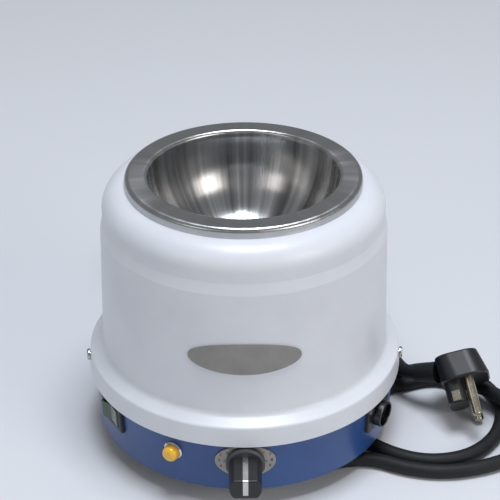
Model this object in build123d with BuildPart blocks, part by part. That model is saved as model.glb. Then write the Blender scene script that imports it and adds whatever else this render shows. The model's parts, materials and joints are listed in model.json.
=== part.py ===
# Laboratory heating mantle for a 250 ml round-bottom flask, with its mains cord and plug.
# Millimetres, +Z up. The origin is on the vertical axis, at the surface that the feet stand on.
# The control side faces -Y. Azimuths are counted from the control side towards +X.
import os
from math import atan, cos, degrees, pi, radians, sin, sqrt, tan

from build123d import *

os.makedirs("parts", exist_ok=True)

# ---- Driving dimensions ----

# General clearances
seat_gap = 0.3  # between parts that are laid on each other over curved faces
skin_gap = 0.1  # between a thin plate and the curved wall that it is glued to
running_gap = 0.05  # radial clearance of a turning shaft or pin

# Feet and control base
foot_height = 10.0
foot_radius = 8.0
foot_taper = 1.0
foot_circle_radius = 44.0
foot_count = 4
foot_recess = 5.0
foot_chamfer = 0.8
screw_engagement = 2.0  # how far a foot screw reaches past the bottom plate
base_height = 35.5
base_bottom_radius = 72.4
base_wall = 2.0
plate_thickness = 1.5
boss_radius = 4.0
boss_height = 12.0
boss_circle_radius = 67.0
boss_angles = (45, 135, 225, 315)
screw_radius = 1.5
screw_head_radius = 2.9
screw_head_height = 1.6

# Upper housing
housing_wall = 1.6
skirt_height = 9.8
skirt_bottom_radius = 76.2
skirt_top_radius = 75.5
flange_rise = 3.1
foot_blend_radius = 3.0
wall_foot_radius = 69.2
step_low_radius = 67.4
band_radius = 66.2
step_low_above_base = 101.5
step_height = 5.5
housing_above_base = 123.0
shoulder_radius = 11.0

# Bowl, heater and insulation
bowl_radius = 44.2
bowl_sheet = 1.2
rim_radius = 55.2
rim_height = 4.9
rim_edge_bend = 2.5
lip_bend = 2.2
rim_straight = 4.0  # straight wall between the hemisphere and the rim's face
bowl_hole_gap = 1.3
blanket_thickness = 3.0
wire_radius = 1.5
wire_turns = 7
wire_first_angle = 14.0
wire_pitch_angle = 10.5
insulation_radius = 63.6
insulation_height = 69.0
shield_thickness = 1.5
shield_radius = 66.0
pillar_height = 40.5
pillar_radius = 3.5
pillar_circle_radius = 30.0
pillar_angles = (20, 150, 270)

# Badge on the housing's front
badge_width = 50.8
badge_height = 15.4
badge_thickness = 0.8
badge_above_base = 69.5

# Controls in the base wall
knob_above_base = 17.0
dial_width = 28.0
dial_height = 17.6
dial_thickness = 0.8
knob_disc_radius = 9.0
knob_disc_thickness = 2.7
knob_disc_gap = 0.5  # between the dial plate and the disc
knob_radius = 7.4
knob_flat_width = 10.2  # across the two finger flats
knob_length = 16.4
knob_edge = 0.8
pointer_width = 2.4
pointer_depth = 0.6
pointer_tail = 1.9  # from the pointer's end to the lower flat
shaft_radius = 3.0
shaft_in_knob = 12.0
shaft_in_body = 6.0
bush_radius = 4.8
bush_reach = 1.9  # beyond the dial plate
bush_nut_across = 12.0
bush_nut_thickness = 1.6
regulator_width = 26.0
regulator_height = 22.0
regulator_depth = 20.0
lamp_azimuth = -27.0
lamp_above_base = 17.3
lamp_lens_radius = 3.8
lamp_lens_reach = 5.4
lamp_bezel_radius = 4.7
lamp_bezel_height = 1.2
lamp_body_radius = 5.2
lamp_body_length = 18.0
switch_azimuth = -59.0
switch_above_base = 19.4
switch_width = 19.5
switch_height = 14.0
switch_bezel = 2.0
switch_rim = 1.2  # width of the bezel's border
switch_cheek = 1.6  # wall of the switch body beside the rocker
switch_body_depth = 18.0
rocker_end_gap = 0.5
rocker_side_gap = 0.3
rocker_crown = 3.4
rocker_waist = 1.9
rocker_tilt = 7.0
rocker_pocket = 4.6
rocker_pin_radius = 1.2
rocker_pin_reach = 0.8
socket_azimuth = 58.5
socket_above_base = 18.9
socket_width = 20.0
socket_height = 15.0
socket_flange = 2.0
socket_corner = 2.5
socket_barrel_radius = 6.6
socket_barrel_depth = 12.0
socket_shell_radius = 6.3
socket_shell_wall = 0.9
socket_shell_reach = 4.0
socket_recess = 2.6
socket_contact_radius = 0.9
socket_contact_circle = 3.0
socket_contact_count = 5
socket_screw_radius = 1.7
socket_screw_height = 0.9
socket_screw_x = 8.0
socket_screw_y = 5.3
side_screw_azimuth = 85.0
side_screw_above_base = 31.5
side_screw_head_radius = 2.8
side_screw_head_height = 1.4
side_screw_length = 7.0

# Parts on the bottom plate
terminal_width = 30.0
terminal_depth = 15.0
terminal_height = 14.0
terminal_y = 42.0
terminal_ways = 3
board_width = 40.0
board_depth = 26.0
board_thickness = 1.6
board_spacer_height = 6.0
board_spacer_radius = 2.5
board_margin = 4.0

# Cord entry at the back
gland_above_base = 17.0
gland_flange_radius = 8.6
gland_flange_thickness = 2.5
gland_dome_radius = 6.9
gland_thread_radius = 6.0
gland_nut_across = 15.0
gland_nut_thickness = 3.0
boot_radius = 5.8
boot_end_radius = 4.7
boot_length = 20.0
cord_radius = 3.5
cord_bore_gap = 0.1
boot_seat_depth = 4.0  # of the bore that the cord sits in

# Plug: the centre of its face, the way its pins point, and the line through both pins
plug_face = (111.9, -3.8, 21.6)
plug_pin_way = (0.2006, -0.722, -0.662)
plug_pin_line = (0.187, 0.692, -0.698)
plug_length = 34.0
plug_width = 24.4
plug_shift = -1.3  # of the face's outline from the pins, towards the cord
plug_depth = 14.0
plug_corner = 9.0
plug_back_length = 28.0
plug_back_width = 21.3
plug_back_shift = -3.35
plug_back_corner = 7.0
plug_edge = 1.2
plug_lobe_reach = 11.0
plug_lobe_width = 9.6
plug_lobe_length = 25.0
plug_lobe_shift = -7.7
plug_lobe_corner = 4.0
pin_radius = 2.4
pin_length = 19.0
pin_spacing = 19.0
pin_root = 4.0
pin_tip = 1.2
clip_width = 4.0
clip_length = 5.0
clip_thickness = 0.6
clip_height = 7.5  # of its middle above the plug's face
plug_boot_root = (96.8, 2.0, 23.3)
plug_boot_way = (-0.83, 0.44, -0.345)
plug_boot_radius = 5.6
plug_boot_end_radius = 4.4
plug_boot_length = 12.0
plug_boot_seat = 5.0  # depth of the bore that the cord sits in

# ---- Derived levels and radii ----

base_bottom = foot_height
base_top = base_bottom + base_height
base_top_radius = skirt_top_radius - housing_wall - seat_gap
base_lean = degrees(atan((base_top_radius - base_bottom_radius) / base_height))
flange_slope = flange_rise / (skirt_top_radius - wall_foot_radius)
flange_drop = housing_wall / cos(atan(flange_slope))  # from the flange's top to its underside
flange_edge = base_top + seat_gap + flange_drop - (skirt_top_radius - base_top_radius) * flange_slope
skirt_bottom = flange_edge - skirt_height
wall_foot = flange_edge + flange_rise
step_low = base_bottom + step_low_above_base
step_high = step_low + step_height
housing_top = base_bottom + housing_above_base
rim_top = housing_top + rim_height
bowl_centre = rim_top - rim_straight
bowl_outer = bowl_radius + bowl_sheet
bowl_hole = bowl_outer + bowl_hole_gap
plate_top = base_bottom + plate_thickness
plate_radius = base_bottom_radius - base_wall - seat_gap
shield_bottom = plate_top + pillar_height
shield_top = shield_bottom + shield_thickness
blanket_inner = bowl_outer + seat_gap
blanket_outer = blanket_inner + blanket_thickness
wire_circle = blanket_outer + wire_radius + seat_gap
insulation_cavity = wire_circle + wire_radius + seat_gap


def base_radius(height):
    """Outer radius of the control base's wall at a height."""
    share = (height - base_bottom) / base_height
    return base_bottom_radius + share * (base_top_radius - base_bottom_radius)


def housing_radius(height):
    """Outer radius of the housing's plain wall at a height."""
    share = (height - wall_foot) / (step_low - wall_foot)
    return wall_foot_radius + share * (step_low_radius - wall_foot_radius)


def wall_plane(azimuth, above_base):
    """Plane on the base wall: X along the wall, Y up it, Z out of it."""
    height = base_bottom + above_base
    radius = base_radius(height)
    a, lean = radians(azimuth), radians(base_lean)
    return Plane(
        origin=(radius * sin(a), -radius * cos(a), height),
        x_dir=(cos(a), sin(a), 0),
        z_dir=(sin(a) * cos(lean), -cos(a) * cos(lean), -sin(lean)),
    )


def screw_plane(side):
    """Plane under the head of a side screw: Z out of the skirt. Side is -1 for left and 1 for right."""
    height = base_bottom + side_screw_above_base
    radius = skirt_top_radius + (flange_edge - height + side_screw_head_radius) / skirt_height * (
        skirt_bottom_radius - skirt_top_radius
    )
    a = radians(side * side_screw_azimuth)
    return Plane(origin=(radius * sin(a), -radius * cos(a), height), x_dir=(cos(a), sin(a), 0), z_dir=(sin(a), -cos(a), 0))


def sagitta(half_width, radius=base_bottom_radius):
    """Depth of a flat of that half width, cut into a round wall."""
    return radius - sqrt(radius**2 - half_width**2)


def corner(x, y):
    """The corner of the sketch in work that lies nearest to a point."""
    return vertices().sort_by_distance((x, y))[0]


knob_plane = wall_plane(0, knob_above_base)
lamp_plane = wall_plane(lamp_azimuth, lamp_above_base)
switch_plane = wall_plane(switch_azimuth, switch_above_base)
socket_plane = wall_plane(socket_azimuth, socket_above_base)
gland_plane = wall_plane(180, gland_above_base)
switch_seat = switch_plane.offset(-sagitta(switch_width / 2 + seat_gap))
socket_seat = socket_plane.offset(-sagitta(socket_width / 2 + seat_gap))
gland_seat = gland_plane.offset(-sagitta(gland_flange_radius + seat_gap))

# ---- Bowl: one sheet, pressed to a hemisphere with a flat rim ----

with BuildPart() as heating_bowl:
    with BuildSketch(Plane.XZ):
        with BuildLine():
            CenterArc((0, bowl_centre), bowl_radius, 270, 90)
            Polyline(
                (bowl_radius, bowl_centre),
                (bowl_radius, rim_top),
                (rim_radius, rim_top),
                (rim_radius, housing_top),
                (rim_radius - bowl_sheet, housing_top),
                (rim_radius - bowl_sheet, rim_top - bowl_sheet),
                (bowl_outer, rim_top - bowl_sheet),
                (bowl_outer, bowl_centre),
            )
            CenterArc((0, bowl_centre), bowl_outer, 0, -90)
            Line((0, bowl_centre - bowl_outer), (0, bowl_centre - bowl_radius))
        make_face()
        fillet(corner(bowl_radius, rim_top), lip_bend)
        fillet(corner(bowl_outer, rim_top - bowl_sheet), lip_bend - bowl_sheet)
        fillet(corner(rim_radius, rim_top), rim_edge_bend)
        fillet(corner(rim_radius - bowl_sheet, rim_top - bowl_sheet), rim_edge_bend - bowl_sheet)
    revolve(axis=Axis.Z)
heating_bowl.part.label = "heating_bowl"
export_step(heating_bowl.part, "parts/heating_bowl.step")

# ---- Heater blanket, heating wire, insulation ----

blanket_top = bowl_centre - blanket_thickness

with BuildPart() as heating_blanket:
    with BuildSketch(Plane.XZ):
        with Locations((0, bowl_centre)):
            Circle(blanket_outer)
            Circle(blanket_inner, mode=Mode.SUBTRACT)
        with Locations((0, blanket_top)):
            Rectangle(
                2 * blanket_outer + 1, 2 * blanket_outer, align=(Align.CENTER, Align.MIN), mode=Mode.SUBTRACT
            )
        with Locations((0, bowl_centre)):
            Rectangle(
                blanket_outer + 1, 3 * blanket_outer, align=(Align.MAX, Align.CENTER), mode=Mode.SUBTRACT
            )
    revolve(axis=Axis.Z)
heating_blanket.part.label = "heating_blanket"
export_step(heating_blanket.part, "parts/heating_blanket.step")

with BuildPart() as heating_wire:
    for turn in range(wire_turns):
        angle = radians(wire_first_angle + turn * wire_pitch_angle)
        with BuildSketch(Plane.XZ):
            with Locations((wire_circle * cos(angle), bowl_centre - wire_circle * sin(angle))):
                RegularPolygon(wire_radius, 8)
        revolve(axis=Axis.Z)
heating_wire.part.label = "heating_wire"
export_step(heating_wire.part, "parts/heating_wire.step")

with BuildPart() as insulation:
    with Locations((0, 0, shield_top)):
        Cylinder(insulation_radius, insulation_height, align=(Align.CENTER, Align.CENTER, Align.MIN))
    with Locations((0, 0, bowl_centre)):
        Sphere(insulation_cavity, mode=Mode.SUBTRACT)
insulation.part.label = "insulation"
export_step(insulation.part, "parts/insulation.step")

# ---- Upper housing: a spun shell with a rounded shoulder, a step and a flange with a skirt ----

inner_top = housing_top - housing_wall
inner_band = band_radius - housing_wall
inner_foot = wall_foot_radius - housing_wall
inner_skirt_top = skirt_top_radius - housing_wall

with BuildPart() as upper_housing:
    with BuildSketch(Plane.XZ):
        with BuildLine():
            Polyline(
                (bowl_hole, housing_top),
                (band_radius, housing_top),
                (band_radius, step_high),
                (step_low_radius, step_low),
                (wall_foot_radius, wall_foot),
                (skirt_top_radius, flange_edge),
                (skirt_bottom_radius, skirt_bottom),
                (skirt_bottom_radius - housing_wall, skirt_bottom),
                (inner_skirt_top, flange_edge + housing_wall * flange_slope - flange_drop),
                (inner_foot, wall_foot + housing_wall * flange_slope - flange_drop),
                (step_low_radius - housing_wall, step_low),
                (inner_band, step_high),
                (inner_band, inner_top),
                (bowl_hole, inner_top),
                close=True,
            )
        make_face()
        fillet(corner(band_radius, housing_top), shoulder_radius)
        fillet(corner(inner_band, inner_top), shoulder_radius - housing_wall)
        fillet(corner(band_radius, step_high), 1.5)
        fillet(corner(step_low_radius, step_low), 1.5)
        fillet(corner(wall_foot_radius, wall_foot), foot_blend_radius)
        fillet(corner(skirt_top_radius, flange_edge), 1.4)
    revolve(axis=Axis.Z)
    for side in (-1, 1):
        with BuildSketch(screw_plane(side)):
            Circle(screw_radius + running_gap)
        extrude(amount=-side_screw_length, mode=Mode.SUBTRACT)
upper_housing.part.label = "upper_housing"
export_step(upper_housing.part, "parts/upper_housing.step")

# ---- Control base: a tapered ring with screw bosses, flats and cut-outs for the controls ----

with BuildPart() as control_base:
    with BuildSketch(Plane.XZ):
        with BuildLine():
            Polyline(
                (base_bottom_radius, base_bottom),
                (base_top_radius, base_top),
                (base_top_radius - base_wall, base_top),
                (base_bottom_radius - base_wall, base_bottom),
                close=True,
            )
        make_face()
    revolve(axis=Axis.Z)
    with BuildSketch(Plane.XY.offset(plate_top)):
        with PolarLocations(boss_circle_radius, 4, start_angle=boss_angles[0]):
            Circle(boss_radius)
    extrude(amount=boss_height)
    with BuildSketch(Plane.XY.offset(plate_top)):
        with PolarLocations(boss_circle_radius, 4, start_angle=boss_angles[0]):
            Circle(screw_radius)
    extrude(amount=boss_height - 2, mode=Mode.SUBTRACT)
    # Bore for the regulator's bush
    with BuildSketch(knob_plane.offset(-base_wall - 2)):
        Circle(bush_radius + seat_gap)
    extrude(amount=base_wall + 4, mode=Mode.SUBTRACT)
    # Bore for the lamp
    with BuildSketch(lamp_plane.offset(-base_wall - 2)):
        Circle(lamp_lens_radius + seat_gap)
    extrude(amount=base_wall + 4, mode=Mode.SUBTRACT)
    # Flat and cut-out for the switch
    with BuildSketch(switch_seat):
        Rectangle(switch_width + 2 * seat_gap, switch_height + 2 * seat_gap)
    extrude(amount=5, mode=Mode.SUBTRACT)
    with BuildSketch(switch_seat.offset(-base_wall - 3)):
        Rectangle(switch_width - 2 * switch_rim + 2 * seat_gap, switch_height - 2 * switch_rim + 2 * seat_gap)
    extrude(amount=base_wall + 6, mode=Mode.SUBTRACT)
    # Flat and cut-out for the socket
    with BuildSketch(socket_seat):
        RectangleRounded(socket_width + 2 * seat_gap, socket_height + 2 * seat_gap, socket_corner)
    extrude(amount=5, mode=Mode.SUBTRACT)
    with BuildSketch(socket_seat.offset(-base_wall - 3)):
        Circle(socket_barrel_radius + seat_gap)
    extrude(amount=base_wall + 6, mode=Mode.SUBTRACT)
    # Flat and bore for the cord gland
    with BuildSketch(gland_seat):
        Circle(gland_flange_radius + seat_gap)
    extrude(amount=5, mode=Mode.SUBTRACT)
    with BuildSketch(gland_seat.offset(-base_wall - 3)):
        Circle(gland_thread_radius + seat_gap)
    extrude(amount=base_wall + 6, mode=Mode.SUBTRACT)
    for side in (-1, 1):
        with BuildSketch(screw_plane(side)):
            Circle(screw_radius + running_gap)
        extrude(amount=-side_screw_length, mode=Mode.SUBTRACT)
control_base.part.label = "control_base"
export_step(control_base.part, "parts/control_base.step")

# ---- Bottom plate, feet, pillars, heat shield and their screws ----

foot_angles = [45 + index * 360 / foot_count for index in range(foot_count)]

with BuildPart() as bottom_plate:
    with BuildSketch(Plane.XY.offset(base_bottom)):
        Circle(plate_radius)
        with PolarLocations(boss_circle_radius, 4, start_angle=boss_angles[0]):
            Circle(screw_radius + running_gap, mode=Mode.SUBTRACT)
        for angle in pillar_angles:
            with PolarLocations(pillar_circle_radius, 1, start_angle=angle):
                Circle(screw_radius + running_gap, mode=Mode.SUBTRACT)
        with PolarLocations(foot_circle_radius, foot_count, start_angle=foot_angles[0]):
            Circle(screw_radius + running_gap, mode=Mode.SUBTRACT)
        with Locations((0, -6), (0, 6)):
            SlotOverall(24, 3.5, mode=Mode.SUBTRACT)
        with Locations((0, 0)):
            SlotOverall(24, 3.5, mode=Mode.SUBTRACT)
    extrude(amount=plate_thickness)
bottom_plate.part.label = "bottom_plate"
export_step(bottom_plate.part, "parts/bottom_plate.step")

for index, angle in enumerate(foot_angles):
    name = ("rear_right", "rear_left", "front_left", "front_right")[index]
    place = Plane(origin=(foot_circle_radius * cos(radians(angle)), foot_circle_radius * sin(radians(angle)), 0))
    with BuildPart() as rubber_foot:
        with BuildSketch(place):
            Circle(foot_radius - foot_taper)
        with BuildSketch(place.offset(foot_height)):
            Circle(foot_radius)
        loft()
        chamfer(rubber_foot.faces().sort_by(Axis.Z)[0].edges(), foot_chamfer)
        with BuildSketch(place):
            Circle(screw_head_radius + seat_gap)
        extrude(amount=foot_recess, mode=Mode.SUBTRACT)
        with BuildSketch(place):
            Circle(screw_radius + running_gap)
        extrude(amount=foot_height, mode=Mode.SUBTRACT)
    rubber_foot.part.label = f"foot_{name}"
    export_step(rubber_foot.part, f"parts/foot_{name}.step")

with BuildPart() as foot_screws:
    with BuildSketch(Plane.XY.offset(foot_recess - screw_head_height)):
        with PolarLocations(foot_circle_radius, foot_count, start_angle=foot_angles[0]):
            Circle(screw_head_radius)
    extrude(amount=screw_head_height)
    with BuildSketch(Plane.XY.offset(foot_recess)):
        with PolarLocations(foot_circle_radius, foot_count, start_angle=foot_angles[0]):
            Circle(screw_radius)
    extrude(amount=plate_top - foot_recess + screw_engagement)
foot_screws.part.label = "foot_screws"
export_step(foot_screws.part, "parts/foot_screws.step")

with BuildPart() as plate_screws:
    for circle_radius, angles in ((boss_circle_radius, boss_angles), (pillar_circle_radius, pillar_angles)):
        for angle in angles:
            with BuildSketch(Plane.XY.offset(base_bottom - screw_head_height)):
                with PolarLocations(circle_radius, 1, start_angle=angle):
                    Circle(screw_head_radius)
            extrude(amount=screw_head_height)
            with BuildSketch(Plane.XY.offset(base_bottom)):
                with PolarLocations(circle_radius, 1, start_angle=angle):
                    Circle(screw_radius - running_gap)
            extrude(amount=plate_thickness + 6)
plate_screws.part.label = "plate_screws"
export_step(plate_screws.part, "parts/plate_screws.step")

with BuildPart() as shield_pillars:
    for angle in pillar_angles:
        with BuildSketch(Plane.XY.offset(plate_top)):
            with PolarLocations(pillar_circle_radius, 1, start_angle=angle):
                RegularPolygon(pillar_radius, 6, major_radius=False)
                Circle(screw_radius, mode=Mode.SUBTRACT)
        extrude(amount=pillar_height)
shield_pillars.part.label = "shield_pillars"
export_step(shield_pillars.part, "parts/shield_pillars.step")

with BuildPart() as heat_shield:
    with BuildSketch(Plane.XY.offset(shield_bottom)):
        Circle(shield_radius)
        Circle(6, mode=Mode.SUBTRACT)
    extrude(amount=shield_thickness)
heat_shield.part.label = "heat_shield"
export_step(heat_shield.part, "parts/heat_shield.step")

for side, name in ((-1, "left"), (1, "right")):
    with BuildPart() as side_screw:
        with BuildSketch(screw_plane(side)):
            Circle(side_screw_head_radius)
        extrude(amount=side_screw_head_height)
        fillet(side_screw.faces().sort_by(Axis.X)[0 if side < 0 else -1].edges(), 0.7)
        with BuildSketch(screw_plane(side)):
            Circle(screw_radius)
        extrude(amount=-side_screw_length)
    side_screw.part.label = f"side_screw_{name}"
    export_step(side_screw.part, f"parts/side_screw_{name}.step")

# ---- Badge and dial plates, bent to the wall behind them ----

badge_height_z = base_bottom + badge_above_base
badge_low = badge_height_z - badge_height
badge_high = badge_height_z + badge_height

with BuildPart() as badge_plate:
    with BuildSketch(Plane.XZ):
        with BuildLine():
            Polyline(
                (housing_radius(badge_low) + skin_gap, badge_low),
                (housing_radius(badge_low) + skin_gap + badge_thickness, badge_low),
                (housing_radius(badge_high) + skin_gap + badge_thickness, badge_high),
                (housing_radius(badge_high) + skin_gap, badge_high),
                close=True,
            )
        make_face()
    revolve(axis=Axis.Z)
    with BuildSketch(Plane(origin=(0, 0, badge_height_z), x_dir=(1, 0, 0), z_dir=(0, -1, 0))):
        Ellipse(badge_width / 2, badge_height / 2)
    extrude(amount=skirt_bottom_radius + 5, mode=Mode.INTERSECT)
badge_plate.part.label = "badge_plate"
export_step(badge_plate.part, "parts/badge_plate.step")

dial_z = base_bottom + knob_above_base
dial_low = dial_z - dial_height
dial_high = dial_z + dial_height

with BuildPart() as dial_plate:
    with BuildSketch(Plane.XZ):
        with BuildLine():
            Polyline(
                (base_radius(dial_low) + skin_gap, dial_low),
                (base_radius(dial_low) + skin_gap + dial_thickness, dial_low),
                (base_radius(dial_high) + skin_gap + dial_thickness, dial_high),
                (base_radius(dial_high) + skin_gap, dial_high),
                close=True,
            )
        make_face()
    revolve(axis=Axis.Z)
    with BuildSketch(Plane(origin=(0, 0, dial_z), x_dir=(1, 0, 0), z_dir=(0, -1, 0))):
        Ellipse(dial_width / 2, dial_height / 2)
    extrude(amount=skirt_bottom_radius + 5, mode=Mode.INTERSECT)
    with BuildSketch(knob_plane.offset(-2)):
        Circle(bush_radius + seat_gap)
    extrude(amount=6, mode=Mode.SUBTRACT)
dial_plate.part.label = "dial_plate"
export_step(dial_plate.part, "parts/dial_plate.step")

# ---- Power regulator with its bush, nut, shaft and knob ----

dial_face = skin_gap + dial_thickness
regulator_front = base_wall + sagitta(regulator_width / 2, base_bottom_radius - base_wall) + seat_gap
disc_back = dial_face + knob_disc_gap
grip_back = disc_back + knob_disc_thickness
knob_front = grip_back + knob_length
shaft_start = -regulator_front - shaft_in_body

with BuildPart() as regulator_body:
    with BuildSketch(knob_plane.offset(-regulator_front)):
        RectangleRounded(regulator_width, regulator_height, 2)
    extrude(amount=-regulator_depth)
    with BuildSketch(knob_plane.offset(-regulator_front)):
        Circle(bush_radius)
    extrude(amount=regulator_front + dial_face + bush_reach)
    with BuildSketch(knob_plane.offset(shaft_start - seat_gap)):
        Circle(shaft_radius + running_gap)
    extrude(amount=regulator_front + shaft_in_body + dial_face + bush_reach + 1, mode=Mode.SUBTRACT)
regulator_body.part.label = "regulator_body"
export_step(regulator_body.part, "parts/regulator_body.step")

with BuildPart() as regulator_nut:
    with BuildSketch(knob_plane.offset(dial_face)):
        RegularPolygon(bush_nut_across / 2, 6, major_radius=False)
        Circle(bush_radius + running_gap, mode=Mode.SUBTRACT)
    extrude(amount=bush_nut_thickness)
regulator_nut.part.label = "regulator_nut"
export_step(regulator_nut.part, "parts/regulator_nut.step")

with BuildPart() as regulator_shaft:
    with BuildSketch(knob_plane.offset(shaft_start)):
        Circle(shaft_radius)
    extrude(amount=grip_back + shaft_in_knob - shaft_start)
regulator_shaft.part.label = "regulator_shaft"
export_step(regulator_shaft.part, "parts/regulator_shaft.step")

nut_corner = bush_nut_across / sqrt(3)

with BuildPart() as knob_disc:
    with BuildSketch(knob_plane.offset(disc_back)):
        Circle(knob_disc_radius)
    extrude(amount=knob_disc_thickness)
    chamfer(knob_disc.edges().group_by(Axis.Y)[0], 0.8)
    with BuildSketch(knob_plane.offset(disc_back)):
        Circle(nut_corner + 2 * seat_gap)
    extrude(amount=knob_disc_thickness - 1, mode=Mode.SUBTRACT)
    with BuildSketch(knob_plane.offset(disc_back)):
        Circle(shaft_radius + running_gap)
    extrude(amount=knob_disc_thickness, mode=Mode.SUBTRACT)
knob_disc.part.label = "knob_disc"
export_step(knob_disc.part, "parts/knob_disc.step")

half_flat = knob_flat_width / 2

with BuildPart() as control_knob:
    with BuildSketch(knob_plane.offset(grip_back)):
        Circle(knob_radius)
        Rectangle(2 * knob_radius, knob_flat_width, mode=Mode.INTERSECT)
    extrude(amount=knob_length)
    fillet(control_knob.edges().filter_by(Axis(knob_plane.origin, knob_plane.z_dir)), knob_edge)
    fillet(control_knob.faces().sort_by(Axis.Y)[0].edges(), knob_edge)
    with BuildSketch(knob_plane.offset(grip_back)):
        Circle(shaft_radius + running_gap)
    extrude(amount=shaft_in_knob + seat_gap, mode=Mode.SUBTRACT)
    # Groove for the pointer line: along the upper flat, then down the front
    with BuildSketch(knob_plane.offset(grip_back)):
        with Locations((0, half_flat - pointer_depth)):
            Rectangle(pointer_width, 2 * pointer_depth, align=(Align.CENTER, Align.MIN))
    extrude(amount=knob_length, mode=Mode.SUBTRACT)
    with BuildSketch(knob_plane.offset(knob_front - pointer_depth)):
        with Locations((0, -half_flat + pointer_tail)):
            Rectangle(pointer_width, knob_flat_width, align=(Align.CENTER, Align.MIN))
    extrude(amount=2 * pointer_depth, mode=Mode.SUBTRACT)
control_knob.part.label = "control_knob"
export_step(control_knob.part, "parts/control_knob.step")

with BuildPart() as knob_pointer:
    with BuildSketch(knob_plane.offset(grip_back)):
        with Locations((0, half_flat - pointer_depth)):
            Rectangle(pointer_width, pointer_depth, align=(Align.CENTER, Align.MIN))
    extrude(amount=knob_length)
    with BuildSketch(knob_plane.offset(knob_front - pointer_depth)):
        with Locations((0, -half_flat + pointer_tail)):
            Rectangle(pointer_width, knob_flat_width - pointer_tail, align=(Align.CENTER, Align.MIN))
    extrude(amount=pointer_depth)
    fillet(
        knob_pointer.edges().filter_by(Axis.X).sort_by_distance(knob_plane.from_local_coords((0, half_flat, knob_front)))[0],
        knob_edge,
    )
knob_pointer.part.label = "knob_pointer"
export_step(knob_pointer.part, "parts/knob_pointer.step")

# ---- Pilot lamp ----

lens_root = base_wall + 1.0

with BuildPart() as lamp_lens:
    with BuildSketch(lamp_plane.offset(-lens_root)):
        Circle(lamp_lens_radius)
    extrude(amount=lens_root + lamp_lens_reach)
    fillet(lamp_lens.faces().filter_by(Axis(lamp_plane.origin, lamp_plane.z_dir)).sort_by(Axis.Y)[0].edges(), 2.2)
lamp_lens.part.label = "lamp_lens"
export_step(lamp_lens.part, "parts/lamp_lens.step")

with BuildPart() as lamp_bezel:
    with BuildSketch(lamp_plane):
        Circle(lamp_bezel_radius)
        Circle(lamp_lens_radius + skin_gap, mode=Mode.SUBTRACT)
    extrude(amount=lamp_bezel_height)
    chamfer(
        lamp_bezel.faces()
        .filter_by(Axis(lamp_plane.origin, lamp_plane.z_dir))
        .sort_by(Axis.Y)[0]
        .edges()
        .sort_by(SortBy.LENGTH)[-1],
        0.6,
    )
lamp_bezel.part.label = "lamp_bezel"
export_step(lamp_bezel.part, "parts/lamp_bezel.step")

lamp_body_front = lens_root + seat_gap

with BuildPart() as lamp_body:
    with BuildSketch(lamp_plane.offset(-lamp_body_front)):
        Circle(lamp_body_radius)
    extrude(amount=-lamp_body_length)
lamp_body.part.label = "lamp_body"
export_step(lamp_body.part, "parts/lamp_body.step")

# ---- Rocker switch: a housing with a pocket, and a rocker on two pins ----

pocket_width = switch_width - 2 * switch_rim - 2 * switch_cheek
pocket_height = switch_height - 2 * switch_rim - 2 * switch_cheek + 1.2
rocker_half = pocket_width / 2 - rocker_end_gap
rocker_side = pocket_height / 2 - rocker_side_gap
rocker_base = 1.6

with BuildPart() as switch_housing:
    with BuildSketch(switch_seat):
        RectangleRounded(switch_width, switch_height, 1)
    extrude(amount=switch_bezel)
    chamfer(
        switch_housing.faces().sort_by(Axis(switch_seat.origin, switch_seat.z_dir))[-1].edges(), 0.6
    )
    with BuildSketch(switch_seat):
        Rectangle(switch_width - 2 * switch_rim, switch_height - 2 * switch_rim)
    extrude(amount=-switch_body_depth)
    with BuildSketch(switch_seat.offset(switch_bezel)):
        Rectangle(pocket_width, pocket_height)
    extrude(amount=-switch_bezel - rocker_pocket, mode=Mode.SUBTRACT)
    with BuildSketch(Plane(origin=switch_seat.origin, x_dir=switch_seat.x_dir, z_dir=switch_seat.y_dir)):
        Circle(rocker_pin_radius + running_gap)
    extrude(amount=rocker_side + rocker_pin_reach + running_gap, both=True, mode=Mode.SUBTRACT)
switch_housing.part.label = "switch_housing"
export_step(switch_housing.part, "parts/switch_housing.step")

rocker_plane = Plane(
    origin=switch_seat.origin,
    x_dir=switch_seat.x_dir.rotate(Axis((0, 0, 0), switch_seat.y_dir), rocker_tilt),
    z_dir=switch_seat.y_dir,
)

with BuildPart() as switch_rocker:
    with BuildSketch(rocker_plane):
        with BuildLine():
            Polyline(
                (-rocker_half, rocker_base),
                (-rocker_half, -rocker_crown),
                (0, -rocker_waist),
                (rocker_half, -rocker_crown),
                (rocker_half, rocker_base),
                (0, rocker_base + 1.2),
                close=True,
            )
        make_face()
        fillet(corner(-rocker_half, -rocker_crown), 0.6)
        fillet(corner(rocker_half, -rocker_crown), 0.6)
        fillet(corner(0, -rocker_waist), 3)
    extrude(amount=rocker_side, both=True)
    with BuildSketch(rocker_plane):
        Circle(rocker_pin_radius)
    extrude(amount=rocker_side + rocker_pin_reach, both=True)
switch_rocker.part.label = "switch_rocker"
export_step(switch_rocker.part, "parts/switch_rocker.step")

# ---- Round panel socket with a metal collar ----

with BuildPart() as socket_body:
    with BuildSketch(socket_seat):
        RectangleRounded(socket_width, socket_height, socket_corner)
    extrude(amount=socket_flange)
    chamfer(socket_body.faces().sort_by(Axis(socket_seat.origin, socket_seat.z_dir))[-1].edges(), 0.4)
    with BuildSketch(socket_seat):
        Circle(socket_barrel_radius)
    extrude(amount=-socket_barrel_depth)
socket_body.part.label = "socket_body"
export_step(socket_body.part, "parts/socket_body.step")

with BuildPart() as socket_collar:
    with BuildSketch(socket_seat.offset(socket_flange)):
        Circle(socket_shell_radius)
        Circle(socket_shell_radius - socket_shell_wall, mode=Mode.SUBTRACT)
    extrude(amount=socket_shell_reach)
    chamfer(socket_collar.faces().sort_by(Axis(socket_seat.origin, socket_seat.z_dir))[-1].edges(), 0.25)
socket_collar.part.label = "socket_collar"
export_step(socket_collar.part, "parts/socket_collar.step")

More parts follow.
